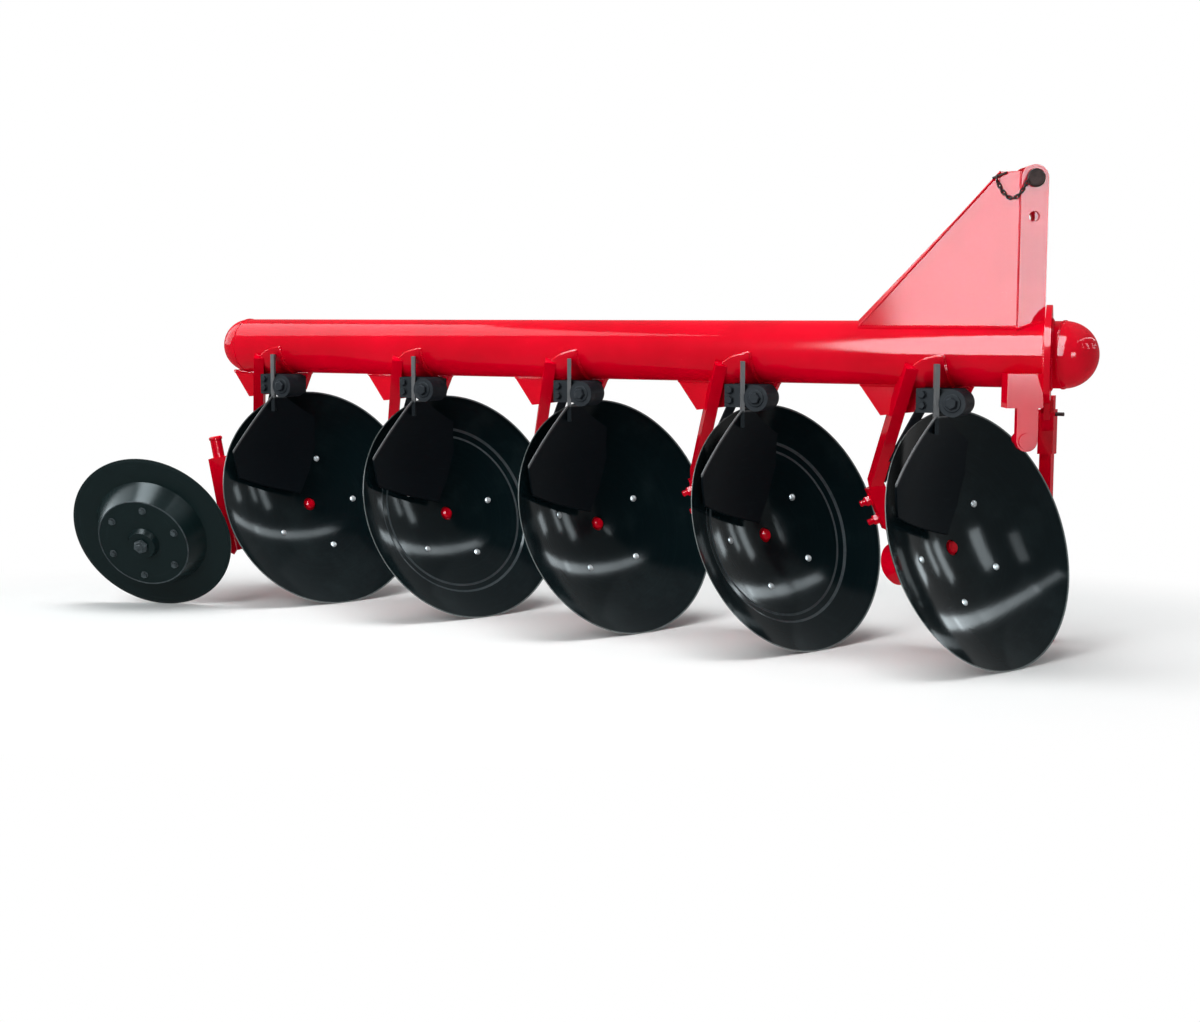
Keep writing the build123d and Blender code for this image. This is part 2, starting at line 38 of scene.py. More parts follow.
import bmesh
import bpy
import numpy as np
from bpy.props import FloatProperty, FloatVectorProperty, IntProperty, PointerProperty
from bpy.types import Operator, Panel, PropertyGroup
from mathutils import Matrix

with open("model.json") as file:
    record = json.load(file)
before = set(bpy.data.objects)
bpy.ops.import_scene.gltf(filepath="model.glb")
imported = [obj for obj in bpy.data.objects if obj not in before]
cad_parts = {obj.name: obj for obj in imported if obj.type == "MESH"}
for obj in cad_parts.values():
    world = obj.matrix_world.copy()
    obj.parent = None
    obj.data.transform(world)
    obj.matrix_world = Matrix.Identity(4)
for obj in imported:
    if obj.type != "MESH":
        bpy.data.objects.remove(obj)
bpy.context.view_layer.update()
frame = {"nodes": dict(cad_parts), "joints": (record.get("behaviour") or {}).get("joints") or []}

# Places and directions read from the frame
disc_numbers = range(1, 6)
joints = {joint["name"]: joint for joint in frame["joints"]}
up = np.array((0.0, 0.0, 1.0))
travel = np.array((1.0, 0.0, 0.0))
left = np.array((0.0, 1.0, 0.0))


def unit(vector):
    """The same direction with length one."""
    vector = np.asarray(vector, float)
    return vector / np.linalg.norm(vector)


def pivot(joint):
    """The point that a joint turns about."""
    return np.array(joints[joint]["pos_m"], float)


def corners(node):
    """All corner points of a CAD node, one a row."""
    mesh = frame["nodes"][node].data
    points = np.empty(len(mesh.vertices) * 3, np.float32)
    mesh.vertices.foreach_get("co", points)
    return points.reshape(-1, 3).astype(float)


def span(node, direction, origin):
    """Lowest and highest reach of a CAD node along a direction, from an origin."""
    reach = (corners(node) - origin) @ direction
    return reach.min(), reach.max()


def spread(node):
    """Directions in which a node's corners spread, from the widest to the narrowest."""
    points = corners(node)
    return np.linalg.svd(points - points.mean(axis=0), full_matrices=False)[2]


rims = {number: pivot(f"disc_{number}_spin") for number in disc_numbers}
along = unit(rims[5] - rims[1])
side = np.cross(along, up)
disc_axis = unit(joints["disc_1_spin"]["axis"])
disc_across = unit(np.cross(up, disc_axis))
disc_rise = np.cross(disc_axis, disc_across)
wheel_centre = pivot("wheel_spin")
wheel_axis = unit(joints["wheel_spin"]["axis"])
pipe_low, pipe_high = (np.array(corner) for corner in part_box("beam_pipe"))
beam_middle = (pipe_low + pipe_high) / 2
pipe_radius = (pipe_high[2] - pipe_low[2]) / 2
half_pipe = span("beam_pipe", along, beam_middle)[1]
stations = {number: (rims[number] - beam_middle) @ along for number in disc_numbers}

# Turn of each disc's bolt circle, in degrees
bolt_turns = {1: 1, 2: 10, 3: 24, 4: 39, 5: 45}
# A corner of the scraper blades in the rim's plane, and the way out past their bare left edge
blade_corner = (-0.168, 0.292)
blade_edge_way = (-0.764, 0.645)
# Where a blade's bare edge and the bare shank above it begin and where they are full
bare_edge = (-0.007, -0.003)
bare_shank = (0.612, 0.618)
# Discs with a raised ring, the radii of its two slopes, which are painted lighter as a highlight with some
# rubbing, and the blur at a slope's ends
ringed_discs = (2, 4)
ring_highlight_slopes = ((0.2190, 0.2265), (0.2390, 0.2465))
slope_blur = 0.001
# Radii between which the edges of the discs and of the furrow wheel turn bare
disc_rim = (0.3255, 0.3285)
wheel_rim = (0.244, 0.249)
# A corner that lies this near to a face counts as on it
face_tolerance = 0.001
merge_distance = 1e-6
sharp_angle = math.radians(34)


def at(station, offset, height):
    """Point at a station along the beam, an offset to its right side and a height above the floor."""
    point = beam_middle + along * station + side * offset
    return np.array((point[0], point[1], height))


def length(name, description, default):
    """Property for a length."""
    return FloatProperty(name=name, description=description, default=default, unit="LENGTH", precision=4)


def colour(name, description, default):
    """Property for a linear colour."""
    return FloatVectorProperty(
        name=name, description=description, default=default, subtype="COLOR", size=4, min=0, max=1
    )


def level(name, description, default):
    """Property for a plain factor."""
    return FloatProperty(name=name, description=description, default=default, min=0)


class PloughPaints(PropertyGroup):
    """Colours of the finishes."""

    enamel: colour("Enamel", "Red enamel of the frame", (0.66, 0.0, 0.014, 1))
    enamel_deep: colour("Deep enamel", "Red enamel where the coat is thick", (0.54, 0.0, 0.010, 1))
    enamel_dust: colour("Dust", "Pale dust in the red coat", (0.80, 0.10, 0.10, 1))
    dish: colour("Dish", "Black paint of the discs", (0.0024, 0.0068, 0.0084, 1))
    dish_worn: colour("Worn dish", "Rubbed paint on the discs", (0.0080, 0.0160, 0.0180, 1))
    # The ring colour is a lighter grey: on the discs' ring slopes it is a painted highlight with some
    # rubbing; the furrow wheel's bolts and lip take it too
    ring: colour("Ring", "Rubbed slopes of the ring on two discs", (0.050, 0.064, 0.070, 1))
    rim: colour("Rim", "Bare steel at the discs' edge", (0.17, 0.20, 0.20, 1))
    scraper: colour("Scraper", "Black of the scraper blades", (0.0034, 0.0056, 0.0076, 1))
    shank: colour("Shank", "Bare steel of the scraper shanks", (0.13, 0.135, 0.14, 1))
    clamp: colour("Clamp", "Cast iron of the scraper clamps", (0.007, 0.009, 0.012, 1))
    zinc: colour("Zinc", "Plated bolts", (0.42, 0.45, 0.46, 1))
    steel: colour("Steel", "Dark pins and chain", (0.055, 0.036, 0.034, 1))
    wheel: colour("Wheel", "Green-black paint of the furrow wheel", (0.0036, 0.0098, 0.0104, 1))


class PloughSizes(PropertyGroup):
    """Sizes of the welds and fasteners."""

    seam_bead: length("Seam bead", "Radius of the weld beads on the pipe", 0.0042)
    plate_bead: length("Plate bead", "Radius of the weld beads at plates", 0.0050)
    edge_bead: length("Edge bead", "Radius of the beads at the mast fin's edges", 0.0030)
    ripple: length("Ripple", "Distance between two ripples of a weld bead", 0.0060)
    bolt_circle: length("Bolt circle", "Radius of the disc bolts' circle", 0.1435)
    bolt_head: length("Disc bolt head", "Radius of a disc bolt's domed head", 0.0092)
    bolt_count: IntProperty(name="Disc bolts", description="Bolts in each disc", default=5, min=1)
    dish_radius: length("Dish radius", "Radius of the discs' sphere", 0.6152)
    dish_depth: length("Dish depth", "Depth of a disc's hollow", 0.096)
    flange_back: length("Flange back", "Depth of the hub flange's back at the bolts", 0.0975)
    chain_wire: length("Chain wire", "Radius of the chain's wire", 0.0017)
    chain_sag: length("Chain sag", "Drop of the chain between its ends", 0.040)
    wheel_bolt_circle: length("Wheel bolts", "Radius of the furrow wheel's bolt circle", 0.108)
    # The lip round the furrow wheel's plate is a lighter ring: a painted highlight on the plate's edge
    wheel_lip_highlight: length("Wheel lip", "Radius of the rubbed lip round the furrow wheel's plate", 0.1355)


class PloughStudio(PropertyGroup):
    """Levels of the light and place of the camera."""

    ambient: level("Ambient", "Level of the light from all round", 0.38)
    key: level("Key", "Radiance of the softbox on the camera's left", 5.6)
    glare: level("Glare", "Radiance of the panels mirrored by the red enamel", 50.0)
    top: level("Top", "Radiance of the softbox overhead", 5.8)
    strip: level("Strip", "Radiance of the long ceiling strip mirrored by the discs", 24.0)
    panes: level("Panes", "Radiance of the upright panes mirrored by the discs", 22.0)
    camera_back: length("Camera back", "Distance of the camera from the beam's middle", 4.7019)
    camera_aside: length("Camera aside", "Camera to the right of the beam's middle", -0.0133)
    camera_height: length("Camera height", "Height of the camera", 0.8615)
    camera_pitch: FloatProperty(
        name="Camera pitch",
        description="Angle below the horizon",
        default=math.radians(6.5),
        subtype="ANGLE",
    )
    lens: FloatProperty(name="Lens", description="Focal length in millimetres", default=51.987)


class Shade:
    """A socket of a node tree that takes part in Python expressions, each of which adds a Math node."""

    def __init__(self, tree, socket=None):
        self.tree = tree
        self.socket = socket

    def node(self, kind, settings=None, inputs=None, output=0):
        """Add a node of a kind: its settings are set first, then its sockets get values or links."""
        made = self.tree.nodes.new(kind)
        for key, value in (settings or {}).items():
            setattr(made, key, value)
        for key, value in (inputs or {}).items():
            socket = made.inputs[key]
            if isinstance(value, Shade):
                self.tree.links.new(value.socket, socket)
            else:
                socket.default_value = value
        return Shade(self.tree, made.outputs[output] if made.outputs else None)

    def math(self, operation, first, second=0.0):
        """Math node on two values."""
        return self.node("ShaderNodeMath", {"operation": operation}, {0: first, 1: second})

    def __add__(self, other):
        return self.math("ADD", self, other)

    __radd__ = __add__

    def __mul__(self, other):
        return self.math("MULTIPLY", self, other)

    __rmul__ = __mul__

    def vector(self, operation, other=(0, 0, 0), output=0):
        """Vector Math node on this vector and another."""
        return self.node("ShaderNodeVectorMath", {"operation": operation}, {0: self, 1: other}, output)

    def step(self, low, high):
        """Smooth step from 0 at one value to 1 at another."""
        limits = {"Value": self, "From Min": low, "From Max": high}
        return self.node("ShaderNodeMapRange", {"interpolation_type": "SMOOTHSTEP"}, limits)

    def blend(self, first, second):
        """Colour between two colours by this factor."""
        return self.node("ShaderNodeMix", {"data_type": "RGBA"}, {0: self, 6: first, 7: second}, 2)

    def place(self):
        """Object coordinates of the shaded point."""
        return self.node("ShaderNodeTexCoord", output=3)

    def noise(self, scale, detail=2.0, roughness=0.5):
        """Noise on this vector, from 0 to 1."""
        inputs = {"Vector": self, "Scale": scale, "Detail": detail, "Roughness": roughness}
        return self.node("ShaderNodeTexNoise", None, inputs)

    def bump(self, strength, distance):
        """Normal bumped by this height."""
        inputs = {"Height": self, "Strength": strength, "Distance": distance}
        return self.node("ShaderNodeBump", None, inputs)


def start(name):
    """New material with an empty node tree."""
    material = bpy.data.materials.new(name)
    material.use_nodes = True
    material.node_tree.nodes.clear()
    return material, Shade(material.node_tree)


def close(material, sheet, sockets):
    """Principled shader with the given sockets, as the material's surface."""
    shader = sheet.node("ShaderNodeBsdfPrincipled", None, sockets)
    sheet.node("ShaderNodeOutputMaterial", None, {"Surface": shader})
    return material


def paints():
    """The scene's paint colours."""
    return bpy.context.scene.plough_paints


def sizes():
    """The scene's sizes."""
    return bpy.context.scene.plough_sizes


def red_enamel():
    """Glossy red enamel with thick and thin stretches, orange peel and a little dust."""
    material, sheet = start("red_enamel")
    where = sheet.place()
    cloud = where.noise(5.0, 3.0)
    speck = where.noise(260.0, 1.0).step(0.70, 0.80)
    dust = speck * where.noise(14.0).step(0.50, 0.75) * 0.30
    coat = cloud.step(0.30, 0.70).blend(tuple(paints().enamel_deep), tuple(paints().enamel))
    peel = where.noise(150.0, 1.0)
    return close(material, sheet, {
        "Base Color": dust.blend(coat, tuple(paints().enamel_dust)),
        "Roughness": 0.30 + cloud * 0.08,
        "Normal": peel.bump(0.05, 0.0006),
        "Specular IOR Level": 0.0,
        "Coat Weight": 0.15,
        "Coat Roughness": 0.07,
    })


def dish_black(number):
    """Black paint of one disc: rubbed rings about its axis, radial smears and a bare edge."""
    material, sheet = start(f"dish_black_{number}")
    where = sheet.place()
    arm = where.vector("SUBTRACT", tuple(rims[number]))
    out = arm.vector("CROSS_PRODUCT", tuple(disc_axis)).vector("LENGTH", output=1)
    cloud = where.noise(7.0, 4.0, 0.6)
    grain = where.noise(90.0, 3.0, 0.65)
    ringed = sheet.node("ShaderNodeCombineXYZ", None, {"X": out, "Y": cloud * 0.02, "Z": 0.0})
    turning = ringed.noise(240.0, 2.0, 0.6)
    worn = (cloud.step(0.48, 0.72) * 0.6 + turning.step(0.45, 0.75) * 0.25) * (0.4 + grain * 0.8)
    paint = worn.blend(tuple(paints().dish), tuple(paints().dish_worn))
    edge = out.step(*disc_rim) * (0.55 + grain * 0.6)
    # The ring's two slopes are painted lighter: a painted highlight, with some rubbing
    if number in ringed_discs:
        inner, outer = (
            out.step(low, low + slope_blur) * out.step(high, high - slope_blur) for low, high in ring_highlight_slopes
        )
        paint = ((inner + outer) * (0.5 + grain * 0.8)).blend(paint, tuple(paints().ring))
    return close(material, sheet, {
        "Base Color": edge.blend(paint, tuple(paints().rim)),
        "Roughness": 0.06 + turning * 0.04 + cloud * 0.04,
        "Normal": (turning * 0.6 + grain * 0.4).bump(0.10, 0.0005),
        "Specular IOR Level": 0.05,
    })


def scraper_black(number):
    """Black blade of one scraper with rubbed streaks and a bare left edge, under a bare steel shank."""
    material, sheet = start(f"scraper_black_{number}")
    where = sheet.place()
    height = sheet.node("ShaderNodeSeparateXYZ", None, {0: where}, 2)
    corner = rims[number] + disc_across * blade_corner[0] + disc_rise * blade_corner[1]
    outward = disc_across * blade_edge_way[0] + disc_rise * blade_edge_way[1]
    past = where.vector("SUBTRACT", tuple(corner)).vector("DOT_PRODUCT", tuple(outward), 1)
    edge = past.step(*bare_edge) * 0.8
    grain = where.noise(60.0, 4.0, 0.65)
    streak = where.vector("MULTIPLY", (30.0, 30.0, 160.0)).noise(1.0, 3.0)
    bare = height.step(*bare_shank) * (0.65 + grain * 0.5)
    blade = (streak.step(0.55, 0.80) * 0.25).blend(tuple(paints().scraper), tuple(paints().dish_worn))
    steel = sheet.math("MAXIMUM", bare, edge)
    return close(material, sheet, {
        "Base Color": steel.blend(blade, tuple(paints().shank)),
        "Roughness": 0.30 + grain * 0.15,
        "Normal": grain.bump(0.10, 0.0006),
        "Specular IOR Level": 0.02,
    })


def clamp_iron():
    """Cast iron under thin black paint, with a sand-cast skin and rubbed high spots."""
    material, sheet = start("clamp_iron")
    where = sheet.place()
    cast = where.noise(170.0, 4.0, 0.7)
    rubbed = where.noise(26.0, 3.0).step(0.56, 0.74)
    return close(material, sheet, {
        "Base Color": (rubbed * 0.10).blend(tuple(paints().clamp), tuple(paints().shank)),
        "Roughness": 0.42 + cast * 0.25,
        "Normal": cast.bump(0.35, 0.0012),
        "Specular IOR Level": 0.03,
    })


def plated(name, tint, dull, metal):
    """Plated or oiled steel of a tint, with fine scratches and stains."""
    material, sheet = start(name)
    where = sheet.place()
    stain = where.noise(55.0, 3.0)
    scratch = where.vector("MULTIPLY", (600.0, 600.0, 120.0)).noise(1.0, 2.0)
    dark = tuple(channel * 0.55 for channel in tint[:3]) + (1.0,)
    return close(material, sheet, {
        "Base Color": stain.step(0.35, 0.70).blend(dark, tuple(tint)),
        "Roughness": dull + stain * 0.12 + scratch * 0.08,
        "Metallic": metal,
        "Normal": scratch.bump(0.08, 0.0003),
        "Specular IOR Level": 0.03,
    })


def wheel_black():
    """Satin green-black paint of the furrow wheel with rings rubbed about its axis."""
    material, sheet = start("wheel_black")
    where = sheet.place()
    arm = where.vector("SUBTRACT", tuple(wheel_centre))
    out = arm.vector("CROSS_PRODUCT", tuple(wheel_axis)).vector("LENGTH", output=1)
    cloud = where.noise(9.0, 4.0, 0.6)
    ringed = sheet.node("ShaderNodeCombineXYZ", None, {"X": out, "Y": cloud * 0.03, "Z": 0.0})
    rubbed = ringed.noise(130.0, 2.0).step(0.50, 0.80) * cloud.step(0.35, 0.65)
    edge = out.step(*wheel_rim) * 0.25
    paint = (rubbed * 0.6).blend(tuple(paints().wheel), tuple(paints().dish_worn))
    return close(material, sheet, {
        "Base Color": edge.blend(paint, tuple(paints().rim)),
        "Roughness": 0.20 + cloud * 0.10,
        "Normal": where.noise(120.0, 2.0).bump(0.10, 0.0006),
        "Specular IOR Level": 0.06,
    })


finish_makers = {
    "red_enamel": red_enamel,
    "clamp_iron": clamp_iron,
    "wheel_black": wheel_black,
    "wheel_bolt": lambda: plated("wheel_bolt", paints().ring, 0.40, 0.0),
    "zinc_plate": lambda: plated("zinc_plate", paints().zinc, 0.30, 0.35),
    "oiled_pin": lambda: plated("oiled_pin", paints().steel, 0.34, 0.0),
}
numbered_makers = {"dish_black": dish_black, "scraper_black": scraper_black}


def finish(name):
    """The material of a name, made when it is first asked for. Some names end in a disc's number."""
    made = bpy.data.materials.get(name)
    if made:
        return made
    stem, _, number = name.rpartition("_")
    if stem in numbered_makers:
        return numbered_makers[stem](int(number))
    return finish_makers[name]()


def crosswise(axis):
    """Two directions square to an axis and to each other; the first is level where it can be."""
    level_guide = along if abs(axis[2]) > 0.95 else up
    first = unit(np.cross(level_guide, axis))
    return first, np.cross(axis, first)


def spoke(angle, first, second):
    """Direction at an angle from the first of two square directions towards the second."""
    return math.cos(angle) * first + math.sin(angle) * second


def turned(profile, centre, axis, sides=32, turn=0.0):
    """Turned form: a profile of radius and height carried round an axis, as
    centre + radius (cos t u + sin t v) + height axis, for t round the circle."""
    axis = unit(axis)
    first, second = crosswise(axis)
    angle = turn + np.linspace(0, 2 * math.pi, sides, endpoint=False)
    ring = np.cos(angle)[:, None] * first + np.sin(angle)[:, None] * second
    radius, height = np.asarray(profile, float).T
    return centre + radius[:, None, None] * ring + height[:, None, None] * axis, False


def swept(path, normal, radius, closed=False, sides=8):
    """Round bar carried along a path: path + radius (cos t lift + sin t cross), where cross is square
    to the path and to a guiding normal. The ends of an open path close on its end points."""
    path = np.asarray(path, float)
    if closed:
        ahead = np.roll(path, -1, 0) - np.roll(path, 1, 0)
    else:
        ahead = np.gradient(path, axis=0)
    tangent = ahead / np.linalg.norm(ahead, axis=1, keepdims=True)
    cross = np.cross(tangent, normal)
    cross = cross / np.linalg.norm(cross, axis=1, keepdims=True)
    lift = np.cross(cross, tangent)
    angle = np.linspace(0, 2 * math.pi, sides, endpoint=False)
    circle = np.cos(angle)[None, :, None] * lift[:, None] + np.sin(angle)[None, :, None] * cross[:, None]
    radii = np.broadcast_to(radius, len(path))
    grid = path[:, None] + radii[:, None, None] * circle
    if not closed:
        first = np.repeat(path[:1, None], sides, 1)
        last = np.repeat(path[-1:, None], sides, 1)
        grid = np.concatenate((first, grid, last))
    return grid, closed


def even(path, step, closed=False):
    """Points at even steps along straight runs."""
    path = np.asarray(path, float)
    if closed:
        path = np.vstack((path, path[:1]))
    run = np.concatenate(((0.0,), np.cumsum(np.linalg.norm(np.diff(path, axis=0), axis=1))))
    count = max(int(round(run[-1] / step)), 3)
    marks = np.linspace(0, run[-1], count, endpoint=not closed)
    return np.stack([np.interp(marks, run, path[:, axis]) for axis in range(path.shape[1])], axis=1)


def circle_path(centre, axis, radius, step):
    """Even points round a circle."""
    first, second = crosswise(unit(axis))
    angle = np.linspace(0, 2 * math.pi, int(2 * math.pi * radius / step), endpoint=False)
    return centre + radius * (np.cos(angle)[:, None] * first + np.sin(angle)[:, None] * second)


def weld(path, normal, radius, closed=False):
    """Weld bead along a path: a bar whose radius swells by an eighth at every ripple."""
    per_ripple = 4
    points = even(path, sizes().ripple / per_ripple, closed)
    swell = 1 + 0.12 * np.sin(2 * math.pi * np.arange(len(points)) / per_ripple)
    return swept(points, normal, radius * swell, closed, 6)


def hexagon(across, height, centre, axis, turn=0.0):
    """Hexagon head or nut: a six-sided turned form with a bevelled top."""
    reach = across / math.sqrt(3)
    profile = ((0, height), (reach * 0.84, height), (reach, height * 0.80), (reach, 0), (0, 0))
    return turned(profile, centre, axis, 6, turn)


def washer(radius, thickness, centre, axis):
    """Flat washer with a small bevel, closed under the bolt."""
    profile = ((0, thickness), (radius * 0.92, thickness), (radius, thickness * 0.6), (radius, 0), (0, 0))
    return turned(profile, centre, axis, 24)


def dome(radius, height, centre, axis):
    """Domed bolt head: a cap whose radius falls with the sine as its height rises with the cosine."""
    angle = np.linspace(0, math.pi / 2, 7)
    cap = np.column_stack((radius * np.sin(angle), height * (0.25 + 0.75 * np.cos(angle))))
    return turned(np.vstack((cap, (radius, 0), (0, 0))), centre, axis, 20)


def rod(start_point, end_point, radius, sides=14):
    """Straight round rod with a small bevel at each end."""
    run = np.asarray(end_point) - np.asarray(start_point)
    reach = np.linalg.norm(run)
    bevel = radius * 0.22
    face = radius - bevel
    profile = ((0, 0), (face, 0), (radius, bevel), (radius, reach - bevel), (face, reach), (0, reach))
    return turned(profile, np.asarray(start_point), run, sides)


def headed(across, height, flat, seat, axis, turn=0.0):
    """Washer and hexagon head or nut on a seat; flat is the washer's radius and thickness."""
    radius, thickness = flat
    head = hexagon(across, height, seat + axis * thickness, axis, turn)
    return [washer(radius, thickness, seat, axis), head]


def joined_mesh(name, surfaces):
    """One mesh of several grids. Every row of a grid is a closed ring, and the rows of a closed path
    join round. Doubled points, as at poles, are merged, and faces are turned outwards."""
    points, quads, count = [], [], 0
    for grid, closed in surfaces:
        rows, columns = grid.shape[:2]
        last = rows if closed else rows - 1
        row, column = np.meshgrid(np.arange(last), np.arange(columns), indexing="ij")
        next_row = (row + 1) % rows
        next_column = (column + 1) % columns
        ring = (row * columns + column, next_row * columns + column,
                next_row * columns + next_column, row * columns + next_column)
        quads.append(np.stack(ring, axis=-1).reshape(-1, 4) + count)
        points.append(grid.reshape(-1, 3))
        count += rows * columns
    mesh = bpy.data.meshes.new(name)
    mesh.from_pydata(np.concatenate(points).tolist(), [], np.concatenate(quads).tolist())
    work = bmesh.new()
    work.from_mesh(mesh)
    bmesh.ops.remove_doubles(work, verts=work.verts, dist=merge_distance)
    bmesh.ops.recalc_face_normals(work, faces=work.faces)
    work.to_mesh(mesh)
    work.free()
    mesh.polygons.foreach_set("use_smooth", np.ones(len(mesh.polygons), bool))
    mesh.set_sharp_from_angle(angle=sharp_angle)
    return mesh


def piece(name, surfaces, body, material):
    """New piece of several surfaces that rides on a body, in a finish and a material slot."""
    made = bpy.data.objects.new(name, joined_mesh(name, surfaces))
    bpy.context.scene.collection.objects.link(made)
    made.data.materials.append(finish(material))
    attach(made, body)
    return made


def beam_plan(station, offset):
    """Plan point at a station along the beam and an offset to its right."""
    return (beam_middle + along * station + side * offset)[:2]


def on_pipe(plan, below=False):
    """Plan points on the pipe's skin: its axis height plus or minus sqrt(radius^2 - offset^2)."""
    plan = np.asarray(plan, float)
    offset = (plan - beam_middle[:2]) @ side[:2]
    rise = np.sqrt(np.clip(pipe_radius ** 2 - offset ** 2, 0, None))
    return np.column_stack((plan, beam_middle[2] + (-rise if below else rise)))


def on_side(points):
    """Points on the pipe's right side, from stations and drops below its axis, at the offset
    sqrt(radius^2 - drop^2)."""
    station, drop = np.asarray(points, float).T
    offset = np.sqrt(pipe_radius ** 2 - drop ** 2)
    return beam_middle + station[:, None] * along + offset[:, None] * side - drop[:, None] * up


class PLOUGH_OT_finishes(Operator):
    """Give every CAD node its finish"""

    bl_idname = "plough.finishes"
    bl_label = "Finishes"

    def execute(self, context):
        by_stem = {
            "furrow_wheel": "wheel_black",
            "mast_pin": "oiled_pin",
            "scraper_clamp": "clamp_iron",
            "stand_lock_pin": "oiled_pin",
        }
        numbered = {"disc": "dish_black", "scraper": "scraper_black"}
        for name, node in frame["nodes"].items():
            stem = name.rstrip("0123456789").rstrip("_")
            chosen = by_stem.get(stem, "red_enamel")
            if stem in numbered:
                chosen = f"{numbered[stem]}_{name[-1]}"
            for material_slot in node.material_slots:
                material_slot.material = finish(chosen)
        return {"FINISHED"}


class PLOUGH_OT_welds(Operator):
    """Weld beads at the pipe's seams, the collar, the saddles, the legs and the mast"""

    bl_idname = "plough.welds"
    bl_label = "Welds"

    def execute(self, context):
        seam = sizes().seam_bead
        plate = sizes().plate_bead
        end_sink, collar_lift = seam * 0.45, seam * 0.4
        saddle_half, saddle_rear, saddle_front = 0.010, -0.306, -0.022
        strap_edge = ((-0.062, 0.076), (-0.070, 0.002), (-0.118, 0.014), (-0.158, 0.038), (-0.176, 0.076))
        beads = []
        for end in (-half_pipe, half_pipe):
            circle = circle_path(beam_middle + along * end, along, pipe_radius - end_sink, seam)
            beads.append(weld(circle, along, seam, True))
        normal = spread("collar_plate")[2]
        ring = circle_path(np.zeros(3), along, pipe_radius + collar_lift, seam)
        for face in span("collar_plate", normal, beam_middle):
            run = (face - ring @ normal) / (along @ normal)
            beads.append(weld(beam_middle + ring + run[:, None] * along, along, plate, True))
        for station in stations.values():
            for offset in (-saddle_half, saddle_half):
                line = [beam_plan(station + setback, offset) for setback in (saddle_rear, saddle_front)]
                beads.append(weld(on_pipe(line, True), up, plate))
            edge = even(np.array(strap_edge) + (station, 0), sizes().ripple)
            beads.append(weld(on_side(edge), side, plate))
        for name in ("mast_fin_right", "mast_fin_left"):
            rear = span(name, along, beam_middle)[0]
            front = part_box(name)[1].x
            for offset in span(name, side, beam_middle):
                end = (front - beam_middle[0] - side[0] * offset) / along[0]
                beads.append(weld(on_pipe([beam_plan(rear, offset), beam_plan(end, offset)]), up, plate))
        for name in ("mast_upright_right", "mast_upright_left"):
            low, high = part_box(name)
            loop = ((low.x, low.y), (high.x, low.y), (high.x, high.y), (low.x, high.y))
            beads.append(weld(on_pipe(even(loop, sizes().ripple, True)), up, plate, True))
        beads += self.mast_seams()
        piece("weld_beads", beads, "frame", "red_enamel")
        return {"FINISHED"}

    def mast_seams(self):
        """Beads down the near fin's front edge at the upright, and along its slope."""
        fin = corners("mast_fin_right")
        near = span("mast_fin_right", side, beam_middle)[1]
        face = fin[(fin - beam_middle) @ side > near - face_tolerance]
        front = face[face[:, 0] > face[:, 0].max() - face_tolerance]
        crown = face[face[:, 2] > face[:, 2].max() - face_tolerance]
        crest = crown[np.argmin(crown @ along)]
        heel = face[np.argmin(face @ along)]
        edges = ((front[np.argmin(front[:, 2])], front[np.argmax(front[:, 2])]), (heel, crest))
        return [weld(edge, side, sizes().edge_bead) for edge in edges]


class PLOUGH_OT_disc_bolts(Operator):
    """Domed bolts through each disc, and their nuts behind the hub's flange"""

    bl_idname = "plough.disc_bolts"
    bl_label = "Disc bolts"

    def execute(self, context):
        size = sizes()
        head_rise, head_sink = size.bolt_head * 0.62, 0.0005
        nut, flat = (size.bolt_head * 1.8, 0.012), (size.bolt_head * 1.25, 0.003)
        thread, thread_reach = size.bolt_head * 0.55, 0.021
        sphere_rise = size.dish_radius - size.dish_depth
        depth = sphere_rise - math.sqrt(size.dish_radius ** 2 - size.bolt_circle ** 2)
        for number, centre in rims.items():
            heads, nuts = [], []
            for turn in np.arange(size.bolt_count) * 360 / size.bolt_count + bolt_turns[number]:
                angle = math.radians(turn)
                outward = spoke(angle, disc_across, disc_rise)
                seat = centre + outward * size.bolt_circle + disc_axis * depth
                inward = unit(centre + disc_axis * sphere_rise - seat)
                heads.append(dome(size.bolt_head, head_rise, seat - inward * head_sink, inward))
                back = centre + outward * size.bolt_circle - disc_axis * size.flange_back
                nuts += headed(*nut, flat, back, -disc_axis, angle)
                nuts.append(rod(back, back - disc_axis * thread_reach, thread))
            piece(f"disc_bolts_{number}", heads, f"disc_{number}", "zinc_plate")
            piece(f"disc_nuts_{number}", nuts, f"disc_{number}", "zinc_plate")
        return {"FINISHED"}


class PLOUGH_OT_scraper_bolts(Operator):
    """Bolts of the scraper clamps"""

    bl_idname = "plough.scraper_bolts"
    bl_label = "Scraper bolts"

    def execute(self, context):
        knuckle_bolt, knuckle_flat, knuckle_turn = (0.026, 0.010), (0.022, 0.003), 0.3
        clamp_bolt, clamp_flat, clamp_turn = (0.017, 0.008), (0.011, 0.002), 0.5
        clamp_drops, turn_by_drop = (0.014, 0.040), 40
        knuckle_radius, knuckle_proud, bolt_setback = 0.033, 0.022, 0.114
        bolts = []
        for number in disc_numbers:
            clamp = f"scraper_clamp_{number}"
            front = span(clamp, along, beam_middle)[1]
            knuckle_end = span(clamp, side, beam_middle)[1]
            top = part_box(clamp)[1].z
            knuckle = at(front - knuckle_radius, knuckle_end, top - knuckle_radius)
            bolts += headed(*knuckle_bolt, knuckle_flat, knuckle, side, knuckle_turn * number)
            for drop in clamp_drops:
                face = at(front - bolt_setback, knuckle_end - knuckle_proud, top - drop)
                turn = clamp_turn * number + drop * turn_by_drop
                bolts += headed(*clamp_bolt, clamp_flat, face, side, turn)
        piece("clamp_bolts", bolts, "frame", "clamp_iron")
        return {"FINISHED"}


